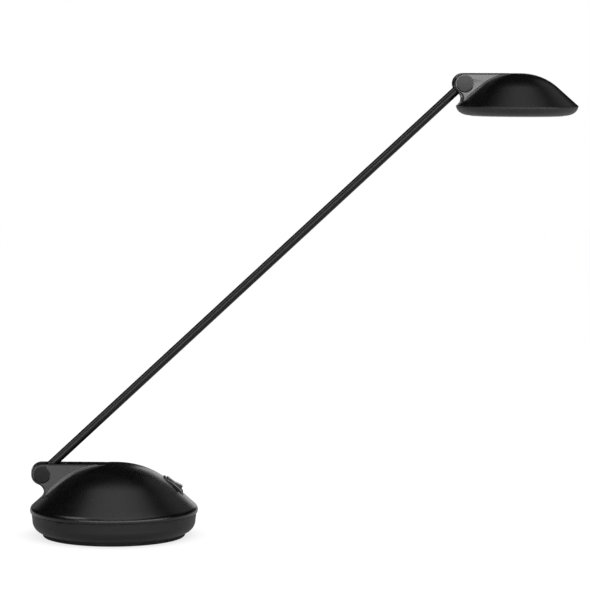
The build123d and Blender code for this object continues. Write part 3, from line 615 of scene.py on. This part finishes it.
# A side of a soft box is its inward normal, how far along it the edge lies, and its softness.
OVERHEAD_SIDES = (
    (leaning(40, (1, 0)), 0.0, 0.22),
    (leaning(26, (-1, 0)), 0.0, 0.12),
    (leaning(6, (0, 1)), 0.0, 0.26),
    (leaning(62, (0, -1)), 0.0, 0.15),
)
BAND_SIDES = (
    ((0.2, -1.0, 0.0), 0.5, 0.15),
    ((0.0, 0.0, 1.0), -0.04, 0.03),
    ((0.0, 0.0, -1.0), -0.2, 0.07),
)
CORNER_SIDES = (((0.58, 0.58, 0.57), 0.965, 0.025),)
HIGH_LEFT_SIDES = (((-0.66, -0.28, 0.69), 0.97, 0.02),)

# Upright panels behind the lamp: the middle's place, the width and the height.
REAR_PANEL = ((0.46, 1.4, 0.36), 0.54, 0.76)
LEFT_PANEL = ((-0.55, 1.5, 0.4), 0.5, 0.6)
# Share of a panel's half width and half height that is fully bright.
PANEL_CORE = 0.7

# The floor's own grey, its glow to the camera, and the share of that in the gloss.
FLOOR_GREY = 0.3
FLOOR_GLOW = 0.74
FLOOR_IN_GLOSS = 0.4

# The square lamp above: its place, what it points at, its side and its power.
LIGHT_PLACE = (0.25, -0.3, 1.7)
LIGHT_TARGET = (0.15, 0, 0.1)
LIGHT_SIDE = 1.2
LIGHT_WATTS = 9.0

# The camera's sensor in millimetres, and the nearest and furthest that it sees in metres.
SENSOR_WIDTH = 36.0
NEAREST_SEEN = 0.1
FURTHEST_SEEN = 50.0


class Surround(Nodes):
    """The world's nodes, which make soft boxes by direction."""

    def __init__(self, name):
        world = bpy.data.worlds.new(name)
        bpy.context.scene.world = world
        world.use_nodes = True
        world.node_tree.nodes.clear()
        super().__init__(world.node_tree)
        self.direction = self.add("ShaderNodeTexCoord").outputs["Generated"]

    def within(self, normal, edge, soft):
        """1 where the direction's part along a normal is above an edge, 0 below."""
        along = self.add("ShaderNodeVectorMath", operation="DOT_PRODUCT")
        self.link(self.direction, along.inputs[0])
        along.inputs[1].default_value = Vector(normal).normalized()
        return self.ramp(along.outputs["Value"], edge - soft, edge + soft, interpolation_type="SMOOTHSTEP")

    def box(self, level, sides):
        """A soft box: its strength times each of its sides."""
        for side in sides:
            level = self.math("MULTIPLY", self.within(*side), level)
        return level


def add_world(look):
    """White behind the lamp, even light for matt surfaces, soft boxes for gloss."""
    world = Surround("studio")
    boxes = (
        world.box(look.overhead, OVERHEAD_SIDES),
        world.box(look.band, BAND_SIDES),
        world.box(look.corner, CORNER_SIDES),
        world.box(look.high_left, HIGH_LEFT_SIDES),
    )
    in_gloss = look.surround
    for box in boxes:
        in_gloss = world.math("ADD", box, in_gloss)
    ray = world.add("ShaderNodeLightPath").outputs
    level = world.choose(ray["Is Glossy Ray"], look.fill, in_gloss)
    level = world.choose(ray["Is Camera Ray"], level, 1.0)
    level = world.choose(ray["Is Transmission Ray"], level, 1.0)
    shader = world.add("ShaderNodeBackground")
    shader.inputs["Color"].default_value = (1.0, 1.0, 1.0, 1.0)
    world.link(level, shader.inputs["Strength"])
    world.link(shader.outputs["Background"], world.add("ShaderNodeOutputWorld").inputs["Surface"])


def bare_material(name):
    """A material without nodes, and its node tree."""
    material = bpy.data.materials.new(name)
    material.use_nodes = True
    material.node_tree.nodes.clear()
    return material, Nodes(material.node_tree)


def floor_material():
    """White floor that keeps a soft shadow under the lamp, dimmer in the gloss."""
    material, nodes = bare_material("floor_white")
    matt = nodes.add("ShaderNodeBsdfDiffuse")
    matt.inputs["Color"].default_value = (FLOOR_GREY, FLOOR_GREY, FLOOR_GREY, 1.0)
    ray = nodes.add("ShaderNodeLightPath").outputs
    seen = nodes.math("MULTIPLY_ADD", ray["Is Glossy Ray"], FLOOR_IN_GLOSS, ray["Is Camera Ray"])
    glow = nodes.add("ShaderNodeEmission")
    nodes.link(nodes.math("MULTIPLY", seen, FLOOR_GLOW), glow.inputs["Strength"])
    both = nodes.add("ShaderNodeAddShader")
    nodes.link(matt.outputs["BSDF"], both.inputs[0])
    nodes.link(glow.outputs["Emission"], both.inputs[1])
    nodes.link(both.outputs["Shader"], nodes.add("ShaderNodeOutputMaterial").inputs["Surface"])
    return material


def panel_material(name, width, height, brightness):
    """A glow that is full in the middle of a panel and fades to nothing at its edges."""
    material, nodes = bare_material(name)
    place = nodes.add("ShaderNodeSeparateXYZ")
    nodes.link(nodes.add("ShaderNodeTexCoord").outputs["Object"], place.inputs["Vector"])
    fade = {"interpolation_type": "SMOOTHSTEP"}
    across = nodes.math("ABSOLUTE", place.outputs["X"])
    across = nodes.ramp(across, width / 2, width / 2 * PANEL_CORE, end=brightness, **fade)
    upright = nodes.math("ABSOLUTE", place.outputs["Z"])
    upright = nodes.ramp(upright, height / 2, height / 2 * PANEL_CORE, **fade)
    glow = nodes.add("ShaderNodeEmission")
    nodes.link(nodes.math("MULTIPLY", across, upright), glow.inputs["Strength"])
    nodes.link(glow.outputs["Emission"], nodes.add("ShaderNodeOutputMaterial").inputs["Surface"])
    return material


def add_plane(name, size):
    """A level square at the origin that belongs to the stage."""
    deselect()
    bpy.ops.mesh.primitive_plane_add(size=size, location=(0, 0, 0))
    plane = bpy.context.object
    plane.name = name
    return plane


def add_panel(name, centre, width, height, brightness):
    """An upright glowing panel that only gloss shows."""
    panel = add_plane(name, 1.0)
    edit_all(panel)
    bpy.ops.transform.resize(value=(width, height, 1))
    bpy.ops.transform.rotate(value=radians(90), orient_axis="X", center_override=(0, 0, 0))
    end_edit()
    panel.location = centre
    for ray in ("camera", "diffuse", "transmission", "shadow", "volume_scatter"):
        setattr(panel, "visible_" + ray, False)
    dress(panel, panel_material(name, width, height, brightness))


def add_light():
    """The square lamp above, which gloss doesn't show."""
    lamp = bpy.data.lights.new("overhead_box", "AREA")
    lamp.shape = "SQUARE"
    lamp.size = LIGHT_SIDE
    lamp.energy = LIGHT_WATTS
    box = link_object("overhead_box", lamp)
    box.location = LIGHT_PLACE
    aim = Vector(LIGHT_TARGET) - box.location
    box.rotation_euler = aim.to_track_quat("-Z", "Y").to_euler()
    box.visible_glossy = False


def add_camera(look):
    """The camera at the photograph's viewing angle."""
    data = bpy.data.cameras.new("camera")
    data.lens = look.camera_lens
    data.sensor_width = SENSOR_WIDTH
    data.clip_start = NEAREST_SEEN
    data.clip_end = FURTHEST_SEEN
    camera = link_object("camera", data)
    turn, rise = look.camera_turn, look.camera_rise
    back = Vector((-sin(turn) * cos(rise), -cos(turn) * cos(rise), sin(rise)))
    target = Vector((look.centre_x, 0, look.centre_z))
    camera.location = target + back * look.camera_distance
    level = (-back).to_track_quat("-Z", "Y")
    camera.rotation_euler = (level @ Quaternion((0, 0, 1), look.camera_roll)).to_euler()
    bpy.context.scene.camera = camera


class LAMP_OT_stage(bpy.types.Operator):
    """Add the floor, the light and the camera"""

    bl_idname = "lamp.stage"
    bl_label = "Studio"

    def execute(self, context):
        look = context.scene.lamp_studio
        context.scene.view_settings.view_transform = "Standard"
        add_world(look)
        dress(add_plane("studio_floor", look.floor_size), floor_material())
        add_panel("rear_soft_box", *REAR_PANEL, look.rear)
        add_panel("left_soft_box", *LEFT_PANEL, look.left)
        add_light()
        add_camera(look)
        return {"FINISHED"}


# ---- add-on ------------------------------------------------------------------
class LAMP_PT_panel(bpy.types.Panel):
    """Lists the lamp's operators and settings"""

    bl_idname = "LAMP_PT_panel"
    bl_label = "Desk lamp"
    bl_space_type = "VIEW_3D"
    bl_region_type = "UI"
    bl_category = "Lamp"

    def draw(self, context):
        for operator in OPERATORS:
            self.layout.operator(operator.bl_idname)
        for group in (context.scene.lamp_finish, context.scene.lamp_studio):
            for key in group.__annotations__:
                self.layout.prop(group, key)


OPERATORS = (
    LAMP_OT_covers,
    LAMP_OT_lower_housings,
    LAMP_OT_arm,
    LAMP_OT_foot_and_switch,
    LAMP_OT_light_unit,
    LAMP_OT_inner_parts,
    LAMP_OT_stage,
)
CLASSES = (LampFinish, LampStudio) + OPERATORS + (LAMP_PT_panel,)


def register():
    """Registers the classes and hangs the settings on the scene."""
    for cls in CLASSES:
        bpy.utils.register_class(cls)
    bpy.types.Scene.lamp_finish = PointerProperty(type=LampFinish)
    bpy.types.Scene.lamp_studio = PointerProperty(type=LampStudio)


def unregister():
    """Takes the settings and the classes away again."""
    del bpy.types.Scene.lamp_studio
    del bpy.types.Scene.lamp_finish
    for cls in reversed(CLASSES):
        bpy.utils.unregister_class(cls)


def main():
    """Registers the add-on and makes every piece."""
    register()
    bpy.ops.lamp.covers()
    bpy.ops.lamp.lower_housings()
    bpy.ops.lamp.arm()
    bpy.ops.lamp.foot_and_switch()
    bpy.ops.lamp.light_unit()
    bpy.ops.lamp.inner_parts()
    bpy.ops.lamp.stage()


if __name__ == "__main__":
    main()
